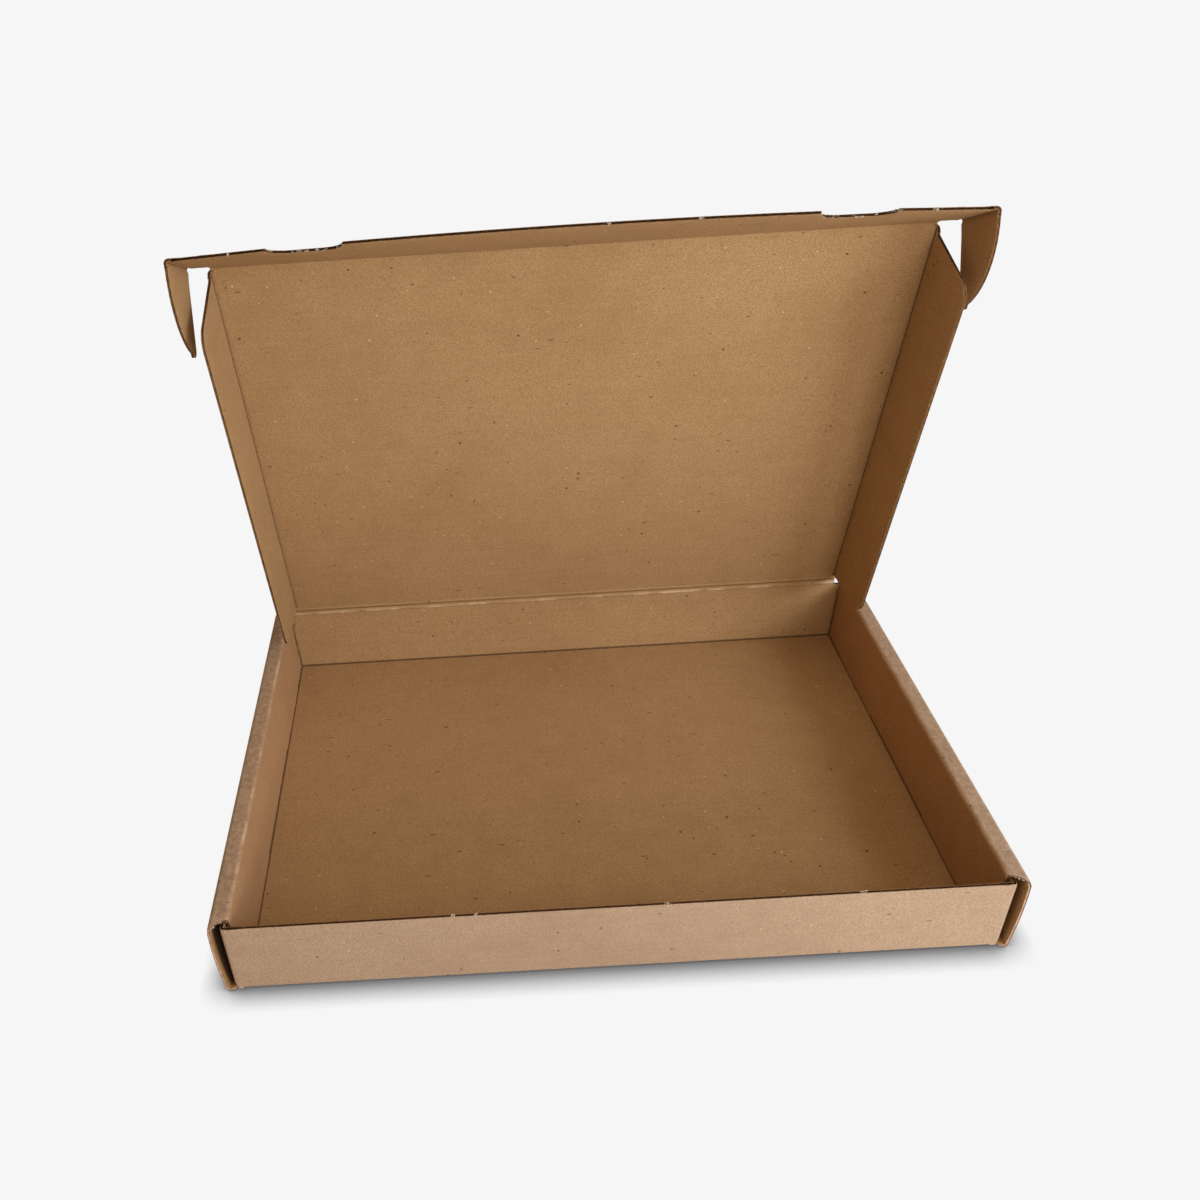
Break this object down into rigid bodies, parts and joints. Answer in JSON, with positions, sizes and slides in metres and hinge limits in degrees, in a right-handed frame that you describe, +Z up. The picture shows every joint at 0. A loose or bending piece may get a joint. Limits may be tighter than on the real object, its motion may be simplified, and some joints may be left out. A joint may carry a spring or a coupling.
{
  "type": "corrugated mailing box",
  "caption": "Shallow kraft mailing box with rolled side walls and a hinged lid standing open, its side flaps and notched front flap with locking ears folded in.",
  "frame": {"origin": "middle of the tray's base, on the table", "axes": "+X to the right as seen from the open front, +Y to the rear wall and the lid crease, +Z up"},
  "size_m": [0.3314, 0.218, 0.2698],
  "materials": {
    "kraft_board": "matt kraft liner"
  },
  "bodies": {
    "tray": {"tray": "kraft_board"},
    "lid": {"lid_panel": "kraft_board"},
    "side_flap_left": {"lid_flap_left": "kraft_board"},
    "side_flap_right": {"lid_flap_right": "kraft_board"},
    "front_flap": {"front_flap": "kraft_board"},
    "ear_left": {"front_ear_left": "kraft_board"},
    "ear_right": {"front_ear_right": "kraft_board"}
  },
  "joints": [
    {"name": "lid_hinge", "type": "hinge", "parent": "tray", "child": "lid", "pos_m": [0, 0.1082, 0.041], "axis": [-1, 0, 0], "range_deg": [-77, 103]},
    {"name": "side_flap_left_fold", "type": "hinge", "parent": "lid", "child": "side_flap_left", "pos_m": [-0.1526, 0.10742, 0.04082], "axis": [0, 0.225, -0.9744], "range_deg": [-80, 2]},
    {"name": "side_flap_right_fold", "type": "hinge", "parent": "lid", "child": "side_flap_right", "pos_m": [0.1526, 0.10742, 0.04082], "axis": [0, -0.225, 0.9744], "range_deg": [-82, 0]},
    {"name": "front_flap_fold", "type": "hinge", "parent": "lid", "child": "front_flap", "pos_m": [0, 0.05876, 0.25517], "axis": [-1, 0, 0], "range_deg": [-35, 55]},
    {"name": "ear_left_fold", "type": "hinge", "parent": "front_flap", "child": "ear_left", "pos_m": [-0.1611, 0.05846, 0.25443], "axis": [0, 0.9272, -0.3746], "range_deg": [0, 89]},
    {"name": "ear_right_fold", "type": "hinge", "parent": "front_flap", "child": "ear_right", "pos_m": [0.1611, 0.05846, 0.25443], "axis": [0, -0.9272, 0.3746], "range_deg": [0, 89]}
  ]
}
